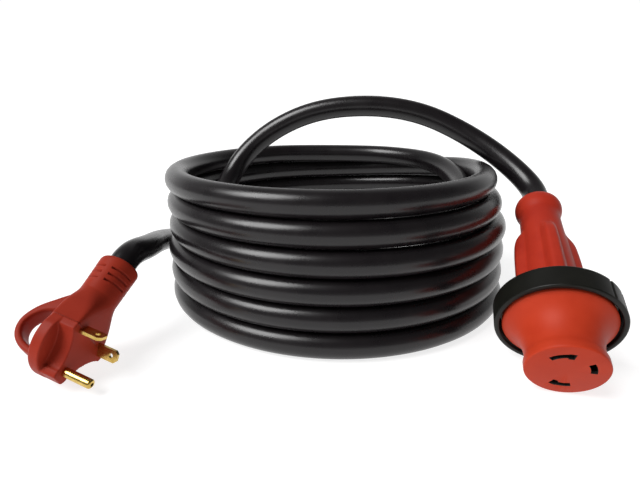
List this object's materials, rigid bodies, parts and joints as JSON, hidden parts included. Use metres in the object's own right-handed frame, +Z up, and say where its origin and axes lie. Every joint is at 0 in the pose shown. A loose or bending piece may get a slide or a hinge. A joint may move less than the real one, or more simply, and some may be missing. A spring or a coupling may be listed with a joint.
{
  "type": "detachable caravan power cord set",
  "caption": "Coiled 30 A cord with an angled three-pin plug with a finger loop at one end and a twist-lock connector with a sliding threaded ring at the other.",
  "frame": {"origin": "on the floor, midway between the outer ends of the plug and the connector in X and Y", "axes": "+X from the plug to the connector, +Y back towards the coil, +Z up"},
  "size_m": [0.361, 0.3458, 0.16],
  "materials": {
    "red_vinyl": "moulded soft vinyl, satin",
    "red_moulding": "moulded plastic, satin",
    "cord_jacket": "extruded jacket, semi-gloss",
    "black_plastic": "moulded nylon, satin",
    "washer_plastic": "plain acetal",
    "inner_plastic": "glass-filled plastic",
    "ferrule_steel": "plated steel",
    "tinned_crimp": "tinned copper",
    "line_insulation": "wire insulation",
    "neutral_insulation": "wire insulation",
    "ground_insulation": "wire insulation",
    "blade_brass": "polished, lightly worn",
    "contact_brass": "spring brass"
  },
  "bodies": {
    "cord_set": {"connector_ferrule": "ferrule_steel", "connector_grip": "red_vinyl", "connector_ground_conductor": "ground_insulation", "connector_ground_crimp": "tinned_crimp", "connector_line_conductor": "line_insulation", "connector_line_crimp": "tinned_crimp", "connector_neutral_conductor": "neutral_insulation", "connector_neutral_crimp": "tinned_crimp", "contact_block": "red_moulding", "contact_face": "red_moulding", "contact_retainer": "inner_plastic", "cord_arch": "cord_jacket", "cord_coil": "cord_jacket", "cord_lead": "cord_jacket", "ground_contact": "contact_brass", "ground_pin": "blade_brass", "line_blade": "blade_brass", "line_contact": "contact_brass", "neutral_blade": "blade_brass", "neutral_contact": "contact_brass", "nose_cover": "red_moulding", "pin_carrier": "inner_plastic", "plug_body": "red_vinyl", "plug_ferrule": "ferrule_steel", "plug_ground_conductor": "ground_insulation", "plug_ground_crimp": "tinned_crimp", "plug_line_conductor": "line_insulation", "plug_line_crimp": "tinned_crimp", "plug_neutral_conductor": "neutral_insulation", "plug_neutral_crimp": "tinned_crimp"},
    "washer": {"slip_washer": "washer_plastic"},
    "ring": {"locking_ring": "black_plastic"}
  },
  "joints": [
    {"name": "ring_slide", "type": "slide", "parent": "cord_set", "child": "washer", "axis": [-0.2318, -0.8836, -0.4067], "range_m": [0, 0.007]},
    {"name": "ring_spin", "type": "hinge", "parent": "washer", "child": "ring", "pos_m": [0.14057, -0.03122, 0.03496], "axis": [-0.2318, -0.8836, -0.4067], "continuous": true}
  ]
}
